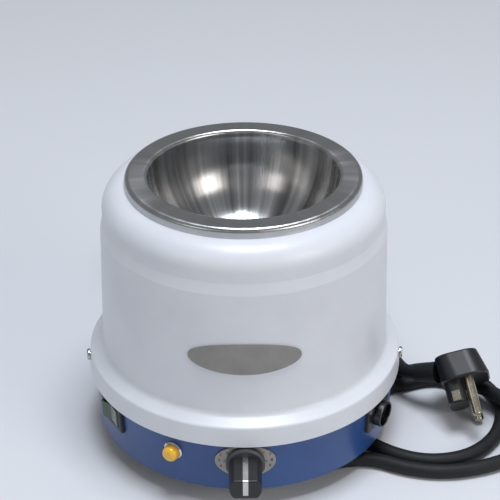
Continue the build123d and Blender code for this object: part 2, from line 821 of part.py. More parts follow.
with BuildPart() as socket_insert:
    with BuildSketch(socket_seat.offset(socket_flange)):
        Circle(socket_shell_radius - socket_shell_wall - skin_gap)
        with PolarLocations(socket_contact_circle, socket_contact_count, start_angle=-20, angular_range=220, endpoint=True):
            Circle(socket_contact_radius, mode=Mode.SUBTRACT)
    extrude(amount=socket_shell_reach - socket_recess)
socket_insert.part.label = "socket_insert"
export_step(socket_insert.part, "parts/socket_insert.step")

with BuildPart() as socket_screws:
    with BuildSketch(socket_seat.offset(socket_flange)):
        with Locations((socket_screw_x, -socket_screw_y), (-socket_screw_x, socket_screw_y)):
            Circle(socket_screw_radius)
    extrude(amount=socket_screw_height)
    with BuildSketch(socket_seat.offset(socket_flange + socket_screw_height)):
        with Locations((socket_screw_x, -socket_screw_y), (-socket_screw_x, socket_screw_y)):
            Rectangle(2 * socket_screw_radius, 0.6)
    extrude(amount=-0.4, mode=Mode.SUBTRACT)
socket_screws.part.label = "socket_screws"
export_step(socket_screws.part, "parts/socket_screws.step")

# ---- Terminal block and control board on the bottom plate ----

with BuildPart() as terminal_block:
    with BuildSketch(Plane.XY.offset(plate_top)):
        with Locations((0, terminal_y)):
            Rectangle(terminal_width, terminal_depth)
    extrude(amount=terminal_height)
    with BuildSketch(Plane.XY.offset(plate_top + terminal_height)):
        with Locations((0, terminal_y)):
            with GridLocations(terminal_width / terminal_ways, terminal_depth / 2, terminal_ways, 2):
                Circle(2)
    extrude(amount=-5, mode=Mode.SUBTRACT)
terminal_block.part.label = "terminal_block"
export_step(terminal_block.part, "parts/terminal_block.step")

with BuildPart() as board_spacers:
    with BuildSketch(Plane.XY.offset(plate_top)):
        with GridLocations(board_width - 2 * board_margin, board_depth - 2 * board_margin, 2, 2):
            Circle(board_spacer_radius)
    extrude(amount=board_spacer_height)
board_spacers.part.label = "board_spacers"
export_step(board_spacers.part, "parts/board_spacers.step")

board_bottom = plate_top + board_spacer_height

with BuildPart() as control_board:
    with BuildSketch(Plane.XY.offset(board_bottom)):
        Rectangle(board_width, board_depth)
    extrude(amount=board_thickness)
    with BuildSketch(Plane.XY.offset(board_bottom + board_thickness)):
        with Locations((-8, 3)):
            Rectangle(14, 9)
        with Locations((6, -4)):
            Circle(4)
    extrude(amount=8)
control_board.part.label = "control_board"
export_step(control_board.part, "parts/control_board.step")

# ---- Cord gland, its nut and the kink boot ----

gland_inner = base_wall + seat_gap
cord_bore = cord_radius + cord_bore_gap
gland_dome_length = abs(knob_plane.origin.Y) + knob_front - gland_seat.origin.Y - gland_flange_thickness

with BuildPart() as cord_gland:
    with BuildSketch(gland_seat):
        Circle(gland_flange_radius)
    extrude(amount=gland_flange_thickness)
    with BuildSketch(gland_seat.offset(gland_flange_thickness)):
        RegularPolygon(gland_dome_radius, 12)
    extrude(amount=gland_dome_length)
    fillet(
        cord_gland.faces().sort_by(Axis(gland_seat.origin, gland_seat.z_dir))[-1].edges(), 0.8
    )
    with BuildSketch(gland_seat):
        Circle(gland_thread_radius)
    extrude(amount=-gland_inner - gland_nut_thickness - 2)
cord_gland.part.label = "cord_gland"
export_step(cord_gland.part, "parts/cord_gland.step")

with BuildPart() as gland_nut:
    with BuildSketch(gland_seat.offset(-gland_inner)):
        RegularPolygon(gland_nut_across / 2, 6, major_radius=False)
        Circle(gland_thread_radius + running_gap, mode=Mode.SUBTRACT)
    extrude(amount=-gland_nut_thickness)
gland_nut.part.label = "gland_nut"
export_step(gland_nut.part, "parts/gland_nut.step")

boot_start = gland_flange_thickness + gland_dome_length

with BuildPart() as kink_boot:
    with BuildSketch(gland_seat.offset(boot_start)):
        Circle(boot_radius)
    with BuildSketch(gland_seat.offset(boot_start + boot_length)):
        Circle(boot_end_radius)
    loft()
    with BuildSketch(gland_seat.offset(boot_start + boot_length - boot_seat_depth)):
        Circle(cord_bore)
    extrude(amount=boot_seat_depth, mode=Mode.SUBTRACT)
kink_boot.part.label = "kink_boot"
export_step(kink_boot.part, "parts/kink_boot.step")

# ---- Plug: planes of its parts ----

plug_plane = Plane(origin=plug_face, x_dir=plug_pin_line, z_dir=plug_pin_way)
boot_way = Vector(*plug_boot_way).normalized()
plug_boot_plane = Plane(origin=plug_boot_root, z_dir=boot_way)

# ---- Cord: from the boot behind the base, around and under it, to the plug's boot ----


def arc_radii(points, share=0.45):
    """The largest arcs that the runs on both sides of each corner allow."""
    radii = []
    for before, here, after in zip(points, points[1:], points[2:]):
        first, second = Vector(*here) - Vector(*before), Vector(*after) - Vector(*here)
        turn = radians(first.get_angle(second))
        radii.append(share * min(first.length, second.length) / tan(turn / 2))
    return radii


cord_first_run = 24.5
cord_route = [
    tuple(gland_seat.from_local_coords((0, 0, boot_start + boot_length - boot_seat_depth))),
    tuple(gland_seat.from_local_coords((0, 0, boot_start + boot_length - boot_seat_depth + cord_first_run))),
    (-5, 157, 13.8),
    (-20, 175, 5.2),
    (-44, 186, cord_radius),
    (-70, 175, cord_radius),
    (-81, 150, cord_radius),
    (-74, 120, cord_radius),
    (-53, 90, cord_radius),
    (-29, 62, cord_radius),
    (-9, 37, cord_radius),
    (14, 18, cord_radius),
    (40, 11, cord_radius),
    (62, 14, cord_radius),
    (80, 19, cord_radius),
    (98, 26, cord_radius),
    (114.5, 17.5, 5.7),
    (125.4, 2.2, 10.9),
    (134, -13, 11.9),
    (138.5, -28, 6.5),
    (131, -41.5, cord_radius),
    (112, -50, cord_radius),
    (94, -53, cord_radius),
    (77, -49.8, cord_radius),
    (62, -42, cord_radius),
    (46, -43, cord_radius),
    (27, -50.5, cord_radius),
    (5, -53, cord_radius),
    (-14, -42.5, cord_radius),
    (-19, -21, cord_radius),
    (-7, -3, cord_radius),
    (15, 1, cord_radius),
    (37, -5, cord_radius),
    (53, -20.5, cord_radius),
    (68, -37, cord_radius),
    (88, -45.5, cord_radius),
    (110, -40.5, cord_radius),
    (125.5, -23, cord_radius),
    (131, 1, cord_radius),
    (124, 21, cord_radius),
    (110, 34, cord_radius),
    (92, 34, cord_radius),
    (75, 27, cord_radius),
    (59, 29, cord_radius),
    (47, 43, cord_radius),
    (41, 64, cord_radius),
    (36, 90, cord_radius),
    (30, 118, cord_radius),
    (26, 148, cord_radius),
    (26.8, 172, cord_radius),
    (27.5, 194.7, cord_radius),
    (41.3, 208.5, cord_radius),
    (60.7, 208.5, cord_radius),
    (74.5, 194.7, cord_radius),
    (75, 172, cord_radius),
    (74.3, 146, cord_radius),
    (73, 118, cord_radius),
    (74, 92, 4.5),
    (76.3, 68, 8),
    (77.3, 48, 11.5),
    (77, 34, 13.8),
    (78, 21, 15.8),
    tuple(plug_boot_plane.from_local_coords((0, 0, plug_boot_length + plug_boot_seat))),
    tuple(plug_boot_plane.from_local_coords((0, 0, plug_boot_length - plug_boot_seat))),
]
cord_radii = arc_radii(cord_route)
print("cord radii", [round(radius, 1) for radius in cord_radii])

with BuildPart() as mains_cord:
    with BuildLine() as cord_path:
        FilletPolyline(*cord_route, radius=cord_radii)
    with BuildSketch(Plane(origin=cord_route[0], z_dir=Vector(*cord_route[1]) - Vector(*cord_route[0]))):
        Circle(cord_radius)
    sweep(path=cord_path.wires()[0])
cord_length = cord_path.wires()[0].length
print("cord length", round(cord_length, 1))
print("volume against section times length", mains_cord.part.volume / (pi * cord_radius**2 * cord_length))
mains_cord.part.label = "mains_cord"
export_step(mains_cord.part, "parts/mains_cord.step")

# ---- Mains plug: slanted body with a lobe at the cord side, two pins, an earth contact and a boot ----

with BuildPart() as plug_body:
    with BuildSketch(plug_plane):
        with Locations((0, plug_shift)):
            RectangleRounded(plug_length, plug_width, plug_corner)
    with BuildSketch(plug_plane.offset(-plug_depth)):
        with Locations((0, plug_back_shift)):
            RectangleRounded(plug_back_length, plug_back_width, plug_back_corner)
    loft()
    fillet(plug_body.faces().sort_by(Axis(plug_plane.origin, plug_plane.z_dir))[0].edges(), plug_edge)
    fillet(plug_body.faces().sort_by(Axis(plug_plane.origin, plug_plane.z_dir))[-1].edges(), plug_edge)
    with BuildSketch(plug_plane.offset(-pin_root)):
        with Locations((0, plug_lobe_shift)):
            RectangleRounded(plug_lobe_length, plug_lobe_width, plug_lobe_corner)
    extrude(amount=plug_lobe_reach + pin_root)
    fillet(plug_body.faces().sort_by(Axis(plug_plane.origin, plug_plane.z_dir))[-1].edges(), plug_edge)
    with BuildSketch(plug_plane):
        with GridLocations(pin_spacing, 1, 2, 1):
            Circle(pin_radius + skin_gap)
    extrude(amount=-pin_root, mode=Mode.SUBTRACT)
    with BuildSketch(plug_plane):
        with GridLocations(pin_spacing, 1, 2, 1):
            Circle(pin_radius + seat_gap)
    extrude(amount=pin_length, mode=Mode.SUBTRACT)
    # Seat for the boot: its root is buried in the back
    with BuildSketch(plug_boot_plane):
        Circle(plug_boot_radius + skin_gap)
    extrude(amount=plug_boot_length, mode=Mode.SUBTRACT)
plug_body.part.label = "plug_body"
export_step(plug_body.part, "parts/plug_body.step")

with BuildPart() as plug_pins:
    with BuildSketch(plug_plane.offset(-pin_root)):
        with GridLocations(pin_spacing, 1, 2, 1):
            Circle(pin_radius)
    extrude(amount=pin_length + pin_root)
    fillet(plug_pins.faces().group_by(Axis(plug_plane.origin, plug_plane.z_dir))[-1].edges(), pin_tip)
plug_pins.part.label = "plug_pins"
export_step(plug_pins.part, "parts/plug_pins.step")

clip_plane = Plane(
    origin=plug_plane.from_local_coords((-plug_lobe_length / 2, plug_lobe_shift, clip_height)),
    x_dir=plug_plane.y_dir,
    z_dir=-plug_plane.x_dir,
)

with BuildPart() as plug_earth_clip:
    with BuildSketch(clip_plane):
        Rectangle(clip_width, clip_length)
    extrude(amount=clip_thickness)
plug_earth_clip.part.label = "plug_earth_clip"
export_step(plug_earth_clip.part, "parts/plug_earth_clip.step")

with BuildPart() as plug_boot:
    with BuildSketch(plug_boot_plane):
        Circle(plug_boot_radius)
    with BuildSketch(plug_boot_plane.offset(plug_boot_length)):
        Circle(plug_boot_end_radius)
    loft()
    with BuildSketch(plug_boot_plane.offset(plug_boot_length)):
        Circle(cord_bore)
    extrude(amount=-plug_boot_seat, mode=Mode.SUBTRACT)
plug_boot.part.label = "plug_boot"
export_step(plug_boot.part, "parts/plug_boot.step")

knob_depth = control_knob.part.bounding_box().min.Y
gland_depth = cord_gland.part.bounding_box().max.Y
print("box in y without the cord", round(knob_depth, 2), round(gland_depth, 2))
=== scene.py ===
import json
from math import cos, pi, radians, sin, sqrt

import bmesh
import bpy
from mathutils import Matrix, Vector


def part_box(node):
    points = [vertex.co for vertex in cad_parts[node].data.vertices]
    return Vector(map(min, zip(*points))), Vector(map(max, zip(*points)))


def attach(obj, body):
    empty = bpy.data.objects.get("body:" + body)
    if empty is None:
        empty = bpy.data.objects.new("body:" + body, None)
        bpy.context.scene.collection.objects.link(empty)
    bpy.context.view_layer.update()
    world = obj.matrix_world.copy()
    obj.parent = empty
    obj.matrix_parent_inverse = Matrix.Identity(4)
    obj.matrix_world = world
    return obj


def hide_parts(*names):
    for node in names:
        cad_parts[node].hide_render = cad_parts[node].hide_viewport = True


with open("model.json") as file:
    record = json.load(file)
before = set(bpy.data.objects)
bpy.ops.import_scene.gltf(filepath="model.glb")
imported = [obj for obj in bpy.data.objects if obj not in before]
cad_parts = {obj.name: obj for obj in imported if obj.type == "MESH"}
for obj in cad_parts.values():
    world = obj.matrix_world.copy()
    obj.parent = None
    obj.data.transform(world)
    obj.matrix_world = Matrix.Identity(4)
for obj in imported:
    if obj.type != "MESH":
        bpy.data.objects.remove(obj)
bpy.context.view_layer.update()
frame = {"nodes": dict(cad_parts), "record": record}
nodes = frame["nodes"]
mm = 0.001
print("frame loaded")

# Camera: a seated person's view of the bench
cameraView = {
    "place": (0.0, -618.5, 452.4),  # mm above the bench
    "pitch": 29.96,
    "yaw": 0.263,
    "roll": -0.25,
    "lens": 108.0,
    "sensor": 36.0,
}


def makeCamera(view):
    pitch, yaw, roll = (radians(view[key]) for key in ("pitch", "yaw", "roll"))
    ahead = Vector((sin(yaw) * cos(pitch), cos(yaw) * cos(pitch), -sin(pitch)))
    side = Vector((cos(yaw), -sin(yaw), 0))
    above = side.cross(ahead)
    right = cos(roll) * side + sin(roll) * above
    up = cos(roll) * above - sin(roll) * side
    data = bpy.data.cameras.new("benchCamera")
    data.lens, data.sensor_width = view["lens"], view["sensor"]
    camera = bpy.data.objects.new("benchCamera", data)
    bpy.context.scene.collection.objects.link(camera)
    turn = Matrix((right, up, -ahead)).transposed().to_4x4()
    camera.matrix_world = Matrix.Translation(Vector(view["place"]) * mm) @ turn
    bpy.context.scene.camera = camera


makeCamera(cameraView)
print("camera placed")

# Cord: control points in mm, from the boot behind the base to the plug's boot
cordRoute = {
    "radius": 3.5,
    "length": 1.38,  # metres, along the whole route
    "exit": (0.0, 113.5, 25.6),
    "points": [
        (0, 109.45, 25.77), (0, 133.94, 24.94), (-5, 157, 13.8), (-20, 175, 5.2), (-44, 186, 3.5),
        (-70, 175, 3.5), (-81, 150, 3.5), (-74, 120, 3.5), (-53, 90, 3.5), (-29, 62, 3.5), (-9, 37, 3.5),
        (14, 18, 3.5), (40, 11, 3.5), (62, 14, 3.5), (80, 19, 3.5), (98, 26, 3.5), (114.5, 17.5, 5.7),
        (125.4, 2.2, 10.9), (134, -13, 11.9), (138.5, -28, 6.5), (131, -41.5, 3.5), (112, -50, 3.5),
        (94, -53, 3.5), (77, -49.8, 3.5), (62, -42, 3.5), (46, -43, 3.5), (27, -50.5, 3.5), (5, -53, 3.5),
        (-14, -42.5, 3.5), (-19, -21, 3.5), (-7, -3, 3.5), (15, 1, 3.5), (37, -5, 3.5), (53, -20.5, 3.5),
        (68, -37, 3.5), (88, -45.5, 3.5), (110, -40.5, 3.5), (125.5, -23, 3.5), (131, 1, 3.5),
        (124, 21, 3.5), (110, 34, 3.5), (92, 34, 3.5), (75, 27, 3.5), (59, 29, 3.5), (47, 43, 3.5),
        (41, 64, 3.5), (36, 90, 3.5), (30, 118, 3.5), (26, 148, 3.5), (26.8, 172, 3.5), (27.5, 194.7, 3.5),
        (41.3, 208.5, 3.5), (60.7, 208.5, 3.5), (74.5, 194.7, 3.5), (75, 172, 3.5), (74.3, 146, 3.5),
        (73, 118, 3.5), (74, 92, 4.5), (76.3, 68, 8), (77.3, 48, 11.5), (77, 34, 13.8), (78, 21, 15.8),
        (82.7, 9.47, 17.44), (91.0, 5.08, 20.89),
    ],
    "stepsAlong": 10,  # between two control points
    "stepsRound": 6,  # in each quarter of the tube
}


def makeCord(route):
    data = bpy.data.curves.new("mainsCord", "CURVE")
    data.dimensions = "3D"
    line = data.splines.new("NURBS")
    line.points.add(len(route["points"]) - 1)
    for point, place in zip(line.points, route["points"]):
        point.co = (*(Vector(place) * mm), 1)
        point.radius = route["radius"] * mm
    line.order_u = 3
    line.use_endpoint_u = True
    line.resolution_u = route["stepsAlong"]
    data.bevel_depth = 1.0  # times each point's radius
    data.bevel_resolution = route["stepsRound"]
    data.use_fill_caps = True
    cord = bpy.data.objects.new("mainsCord", data)
    bpy.context.scene.collection.objects.link(cord)
    return cord


mainsCord = makeCord(cordRoute)
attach(mainsCord, "mantle")
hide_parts("mains_cord")
print("cord laid")


def linear(hexColour):
    channels = [int(hexColour[i : i + 2], 16) / 255 for i in (1, 3, 5)]
    return [c / 12.92 if c <= 0.04045 else ((c + 0.055) / 1.055) ** 2.4 for c in channels] + [1.0]


def addNode(tree, kind, settings=None, links=None):
    node = tree.nodes.new(kind)
    for key, value in (settings or {}).items():
        if key in node.inputs:
            node.inputs[key].default_value = value
        else:
            setattr(node, key, value)
    for key, source in (links or {}).items():
        tree.links.new(source, node.inputs[key])
    return node


def setRamp(ramp, stops):
    band = ramp.color_ramp
    while len(band.elements) < len(stops):
        band.elements.new(0.5)
    for element, (place, colour) in zip(band.elements, stops):
        element.position, element.color = place, colour


noiseBand = (0.3, 0.7)  # the span of a noise that most of its values fall in
reliefStrength = 0.5


# One finish: mottled colour, grain in the roughness and a fine relief, all at sizes in mm
def makeFinish(name, look):
    material = bpy.data.materials.new(name)
    material.use_nodes = True
    tree = material.node_tree
    tree.nodes.clear()
    place = addNode(tree, "ShaderNodeTexCoord")
    where = place.outputs["Object"]
    stretched = addNode(
        tree, "ShaderNodeMapping", {"Scale": look.get("stretch", (1, 1, 1))}, {"Vector": where}
    )
    mottle = addNode(
        tree,
        "ShaderNodeTexNoise",
        {"Scale": 1 / (look["mottle"] * mm), "Detail": 4.0, "Roughness": 0.6},
        {"Vector": where},
    )
    grain = addNode(
        tree,
        "ShaderNodeTexNoise",
        {"Scale": 1 / (look["grain"] * mm), "Detail": 3.0, "Roughness": 0.55},
        {"Vector": stretched.outputs["Vector"]},
    )
    colour = addNode(tree, "ShaderNodeValToRGB", links={"Fac": mottle.outputs["Fac"]})
    setRamp(colour, [(noiseBand[0], linear(look["dark"])), (noiseBand[1], linear(look["light"]))])
    rough = addNode(
        tree,
        "ShaderNodeMapRange",
        {
            "From Min": noiseBand[0],
            "From Max": noiseBand[1],
            "To Min": look["rough"][0],
            "To Max": look["rough"][1],
        },
        {"Value": grain.outputs["Fac"]},
    )
    relief = addNode(
        tree,
        "ShaderNodeBump",
        {"Strength": reliefStrength, "Distance": look["relief"] * mm},
        {"Height": grain.outputs["Fac"]},
    )
    surface = addNode(
        tree,
        "ShaderNodeBsdfPrincipled",
        look.get("surface", {}),
        {
            "Base Color": colour.outputs["Color"],
            "Roughness": rough.outputs["Result"],
            "Normal": relief.outputs["Normal"],
        },
    )
    addNode(tree, "ShaderNodeOutputMaterial", links={"Surface": surface.outputs["BSDF"]})
    return material


finishes = {
    # sprayed and stoved enamel: a faint orange-peel relief, about 1.5 mm across, under a satin gloss
    "stovedEnamelPale": {
        "dark": "#D6D9DF", "light": "#DEE1E6", "mottle": 30.0, "grain": 1.5, "relief": 0.02,
        "rough": (0.33, 0.42), "surface": {"Coat Weight": 0.15, "Coat Roughness": 0.2},
    },
    # the same enamel in blue, on the pressed base
    "stovedEnamelBlue": {
        "dark": "#234780", "light": "#294F8C", "mottle": 25.0, "grain": 1.2, "relief": 0.02,
        "rough": (0.30, 0.40), "surface": {"Coat Weight": 0.2, "Coat Roughness": 0.18},
    },
    # zinc-plated sheet: dull, with a broad spangle
    "galvanisedSheet": {
        "dark": "#A4A8AB", "light": "#B9BCBE", "mottle": 9.0, "grain": 2.5, "relief": 0.01,
        "rough": (0.38, 0.55), "surface": {"Metallic": 1.0},
    },
    # woven glass cloth, drawn at 1 mm threads
    "glassCloth": {
        "dark": "#C6C0B0", "light": "#DDD8CB", "mottle": 6.0, "grain": 1.0, "relief": 0.3,
        "rough": (0.8, 0.95), "surface": {"Sheen Weight": 0.3},
    },
    # drawn alloy wire, dulled by heat
    "resistanceWire": {
        "dark": "#5A5654", "light": "#75706C", "mottle": 4.0, "grain": 0.6, "relief": 0.02,
        "rough": (0.45, 0.6), "surface": {"Metallic": 1.0},
    },
    # pressed mineral wool: clumps of fibre 3 mm long
    "mineralWool": {
        "dark": "#B9AC82", "light": "#D8CDA8", "mottle": 8.0, "grain": 3.0, "relief": 0.8,
        "rough": (0.9, 1.0), "surface": {"Sheen Weight": 0.4},
    },
    # moulded rubber: matt, with dust in the grain
    "mouldedRubber": {
        "dark": "#141517", "light": "#1D1E21", "mottle": 7.0, "grain": 0.7, "relief": 0.04,
        "rough": (0.52, 0.68), "surface": {"Specular IOR Level": 0.35},
    },
    # bright zinc over a turned head: clean glints
    "zincPlatedScrew": {
        "dark": "#B4B4B1", "light": "#C8C7C3", "mottle": 2.0, "grain": 0.35, "relief": 0.01,
        "rough": (0.2, 0.32), "surface": {"Metallic": 1.0},
    },
    # anodised plate brushed along its length: scratches 0.3 mm wide and 15 mm long
    "brushedAluminium": {
        "dark": "#A9A8A4", "light": "#B8B6B1", "mottle": 20.0, "grain": 0.3, "relief": 0.01,
        "stretch": (0.03, 0.03, 1), "rough": (0.34, 0.48), "surface": {"Metallic": 0.85},
    },
    # etched plate with a fine lengthwise brush: flat and grey, with little shine
    "satinBadgePlate": {
        "dark": "#8B8884", "light": "#97948F", "mottle": 12.0, "grain": 0.3, "relief": 0.006,
        "stretch": (0.03, 0.03, 1), "rough": (0.4, 0.5), "surface": {"Metallic": 0.6},
    },
    # bead-blasted plate: an even, warm grey
    "satinDialPlate": {
        "dark": "#96918A", "light": "#A6A199", "mottle": 8.0, "grain": 0.4, "relief": 0.006,
        "rough": (0.42, 0.52), "surface": {"Metallic": 0.5},
    },
    # machined aluminium: a bright line with a soft edge
    "brightAluminium": {
        "dark": "#C4C4C2", "light": "#D4D4D2", "mottle": 3.0, "grain": 0.4, "relief": 0.008,
        "rough": (0.25, 0.36), "surface": {"Metallic": 1.0},
    },
    # spark-textured black thermoplastic: a fine grain that breaks the highlight
    "sparkedBlackPlastic": {
        "dark": "#131416", "light": "#1A1B1D", "mottle": 9.0, "grain": 0.5, "relief": 0.03,
        "rough": (0.38, 0.5), "surface": {"IOR": 1.53},
    },
    # moulded ABS: even, with a dull shine
    "greyMouldedPlastic": {
        "dark": "#3A3B3E", "light": "#46474A", "mottle": 6.0, "grain": 0.6, "relief": 0.02,
        "rough": (0.4, 0.52), "surface": {"IOR": 1.5},
    },
    # pressed phenolic: dark brown and waxy
    "brownPhenolic": {
        "dark": "#3A2A20", "light": "#4B382B", "mottle": 5.0, "grain": 0.8, "relief": 0.02,
        "rough": (0.35, 0.5), "surface": {"IOR": 1.6},
    },
    # turned bar: highlights drawn out by the tool marks
    "turnedSteel": {
        "dark": "#AEAFB0", "light": "#C2C3C4", "mottle": 5.0, "grain": 0.25, "relief": 0.008,
        "rough": (0.22, 0.34), "surface": {"Metallic": 1.0, "Anisotropic": 0.5},
    },
    # amber acrylic lens, moulded clear and smooth
    "amberAcrylic": {
        "dark": "#EDB423", "light": "#F6C63C", "mottle": 3.0, "grain": 1.5, "relief": 0.01,
        "rough": (0.08, 0.14),
        "surface": {"IOR": 1.49, "Subsurface Weight": 0.35, "Subsurface Scale": 0.003, "Coat Weight": 0.6},
    },
    # polished plating: near a mirror
    "polishedChrome": {
        "dark": "#C9CACC", "light": "#D8D9DB", "mottle": 6.0, "grain": 1.0, "relief": 0.004,
        "rough": (0.08, 0.14), "surface": {"Metallic": 1.0},
    },
    # moulded polycarbonate, polished in the tool: sharp highlights over deep green
    "glossyGreenPlastic": {
        "dark": "#163A1D", "light": "#1E4826", "mottle": 5.0, "grain": 1.0, "relief": 0.01,
        "rough": (0.16, 0.24), "surface": {"IOR": 1.5, "Coat Weight": 0.4},
    },
    # moulded nylon: milky at the edges
    "whitePolyamide": {
        "dark": "#DAD8D0", "light": "#E8E6DF", "mottle": 6.0, "grain": 0.8, "relief": 0.02,
        "rough": (0.4, 0.5), "surface": {"Subsurface Weight": 0.1, "Subsurface Scale": 0.002},
    },
    # solder resist over laminate: glossy green
    "circuitBoardLacquer": {
        "dark": "#1B5233", "light": "#236340", "mottle": 4.0, "grain": 0.6, "relief": 0.02,
        "rough": (0.25, 0.36), "surface": {"IOR": 1.5},
    },
    # nickel over brass: bright, with a warm cast where it is worn
    "nickelledBrass": {
        "dark": "#B0A588", "light": "#CFC8B4", "mottle": 4.0, "grain": 0.5, "relief": 0.006,
        "rough": (0.18, 0.3), "surface": {"Metallic": 1.0},
    },
    # dark plating: grey highlights on near-black
    "blackenedNickel": {
        "dark": "#3C3D3F", "light": "#57585A", "mottle": 3.0, "grain": 0.6, "relief": 0.006,
        "rough": (0.24, 0.36), "surface": {"Metallic": 1.0},
    },
    # screen-printed ink: matt and dark
    "printedInk": {
        "dark": "#2A2927", "light": "#34322F", "mottle": 1.5, "grain": 0.3, "relief": 0.004,
        "rough": (0.5, 0.6), "surface": {"IOR": 1.45},
    },
}
materials = {name: makeFinish(name, look) for name, look in finishes.items()}

# Stainless steel spun on a lathe: tool rings run round the axis, so highlights open into upright fans;
# these fans are also painted into the base colour as light and dark streaks, a painted reflection that
# fades out towards the rim
spunSteel = {
    # dark and light: the spread between them is painted reflection streaks, from dark grey to near white;
    # the steel's own grey lies between them
    "dark": "#7C7D7C", "light": "#E2E3E4", "ring": 0.9, "streaks": 4.5, "relief": 0.004,
    "rough": (0.2, 0.3), "anisotropy": 0.8, "metallic": 1.0,
    # the painted reflection streaks fade out between these two radii and keep only a small share of their
    # swing on the flat rim
    "bowlRadius": 43.0, "rimRadius": 45.5,  # the fans fade out between these, in mm
    "paintedReflectionOnRim": 0.12,  # share of the fans that is left on the flat rim
    "band": (0.35, 0.65),  # span of the fan noise that the colours and roughness are spread over
    "middle": 0.5,
    "reliefStrength": 0.4,
}


def makeSpunSteel(look):
    material = bpy.data.materials.new("spunSteel")
    material.use_nodes = True
    tree = material.node_tree
    tree.nodes.clear()
    place = addNode(tree, "ShaderNodeTexCoord")
    axes = addNode(tree, "ShaderNodeSeparateXYZ", links={"Vector": place.outputs["Object"]})
    flat = addNode(
        tree, "ShaderNodeCombineXYZ", links={"X": axes.outputs["X"], "Y": axes.outputs["Y"]}
    )
    radius = addNode(tree, "ShaderNodeVectorMath", {"operation": "LENGTH"})
    tree.links.new(flat.outputs["Vector"], radius.inputs[0])
    way = addNode(tree, "ShaderNodeVectorMath", {"operation": "NORMALIZE"})
    tree.links.new(flat.outputs["Vector"], way.inputs[0])
    alongWall = addNode(
        tree, "ShaderNodeCombineXYZ", links={"X": radius.outputs["Value"], "Y": axes.outputs["Z"]}
    )
    rings = addNode(
        tree,
        "ShaderNodeTexNoise",
        {"Scale": 1 / (look["ring"] * mm), "Detail": 2.0, "Roughness": 0.5},
        {"Vector": alongWall.outputs["Vector"]},
    )
    # fan noise round the axis: it spreads the roughness and, through the nodes below, paints light and
    # dark reflection streaks into the base colour
    roughnessAndPaintedReflectionFan = addNode(
        tree,
        "ShaderNodeTexNoise",
        {"Scale": look["streaks"], "Detail": 3.0, "Roughness": 0.55},
        {"Vector": way.outputs["Vector"]},
    )
    # painted reflection: the streaks keep full strength inside the bowl and fade out on the rim
    paintedReflectionInBowl = addNode(
        tree,
        "ShaderNodeMapRange",
        {
            "From Min": look["bowlRadius"] * mm,
            "From Max": look["rimRadius"] * mm,
            "To Min": 1.0,
            "To Max": look["paintedReflectionOnRim"],
        },
        {"Value": radius.outputs["Value"]},
    )
    paintedReflectionSwing = addNode(tree, "ShaderNodeMath", {"operation": "SUBTRACT"})
    tree.links.new(roughnessAndPaintedReflectionFan.outputs["Fac"], paintedReflectionSwing.inputs[0])
    paintedReflectionSwing.inputs[1].default_value = look["middle"]
    paintedReflectionFade = addNode(tree, "ShaderNodeMath", {"operation": "MULTIPLY_ADD"})
    tree.links.new(paintedReflectionSwing.outputs["Value"], paintedReflectionFade.inputs[0])
    tree.links.new(paintedReflectionInBowl.outputs["Result"], paintedReflectionFade.inputs[1])
    paintedReflectionFade.inputs[2].default_value = look["middle"]
    # base colour from dark grey to near white along the fan: painted reflection streaks over the steel's
    # own grey
    colour = addNode(tree, "ShaderNodeValToRGB", links={"Fac": paintedReflectionFade.outputs["Value"]})
    low, high = look["band"]
    setRamp(colour, [(low, linear(look["dark"])), (high, linear(look["light"]))])
    rough = addNode(
        tree,
        "ShaderNodeMapRange",
        {"From Min": low, "From Max": high, "To Min": look["rough"][0], "To Max": look["rough"][1]},
        {"Value": roughnessAndPaintedReflectionFan.outputs["Fac"]},
    )
    relief = addNode(
        tree,
        "ShaderNodeBump",
        {"Strength": look["reliefStrength"], "Distance": look["relief"] * mm},
        {"Height": rings.outputs["Fac"]},
    )
    around = addNode(tree, "ShaderNodeTangent", {"direction_type": "RADIAL", "axis": "Z"})
    surface = addNode(
        tree,
        "ShaderNodeBsdfPrincipled",
        {"Metallic": look["metallic"], "Anisotropic": look["anisotropy"]},
        {
            "Base Color": colour.outputs["Color"],
            "Roughness": rough.outputs["Result"],
            "Normal": relief.outputs["Normal"],
            "Tangent": around.outputs["Tangent"],
        },
    )
    addNode(tree, "ShaderNodeOutputMaterial", links={"Surface": surface.outputs["BSDF"]})
    return material


materials["spunSteel"] = makeSpunSteel(spunSteel)

slotFinish = {
    "housing_paint": "stovedEnamelPale",
    "base_paint": "stovedEnamelBlue",
    "bowl_steel": "spunSteel",
    "plain_steel": "galvanisedSheet",
    "blanket_cloth": "glassCloth",
    "wire_alloy": "resistanceWire",
    "wool": "mineralWool",
    "foot_rubber": "mouldedRubber",
    "screw_steel": "zincPlatedScrew",
    "plate_aluminium": "brushedAluminium",
    "pointer_aluminium": "brightAluminium",
    "knob_black": "sparkedBlackPlastic",
    "disc_grey": "greyMouldedPlastic",
    "phenolic": "brownPhenolic",
    "shaft_steel": "turnedSteel",
    "lens_yellow": "amberAcrylic",
    "bezel_chrome": "polishedChrome",
    "part_black": "sparkedBlackPlastic",
    "rocker_green": "glossyGreenPlastic",
    "terminal_white": "whitePolyamide",
    "board_green": "circuitBoardLacquer",
    "gland_black": "sparkedBlackPlastic",
    "cord_rubber": "mouldedRubber",
    "plug_black": "sparkedBlackPlastic",
    "pin_nickel": "nickelledBrass",
}
nodeSlot = {part["node"]: part["material_slot"] for part in frame["record"]["subparts"]}
for name, node in nodes.items():
    node.data.materials.clear()
    node.data.materials.append(materials[slotFinish[nodeSlot[name]]])
ownFinish = {  # pieces that share a slot but not its finish
    "socket_collar": "blackenedNickel",
    "dial_plate": "satinDialPlate",
    "badge_plate": "satinBadgePlate",
}
for name, finish in ownFinish.items():
    nodes[name].data.materials[0] = materials[finish]
mainsCord.data.materials.append(materials["mouldedRubber"])
print("finishes made")

bodies = frame["record"]["behaviour"]["bodies"]
bodyOf = {node: body for body, members in bodies.items() for node in members}
skinWeld = 0.002  # mm, corners nearer than this are one
skinSharp = 32.0  # degrees, edges that bend more stay sharp


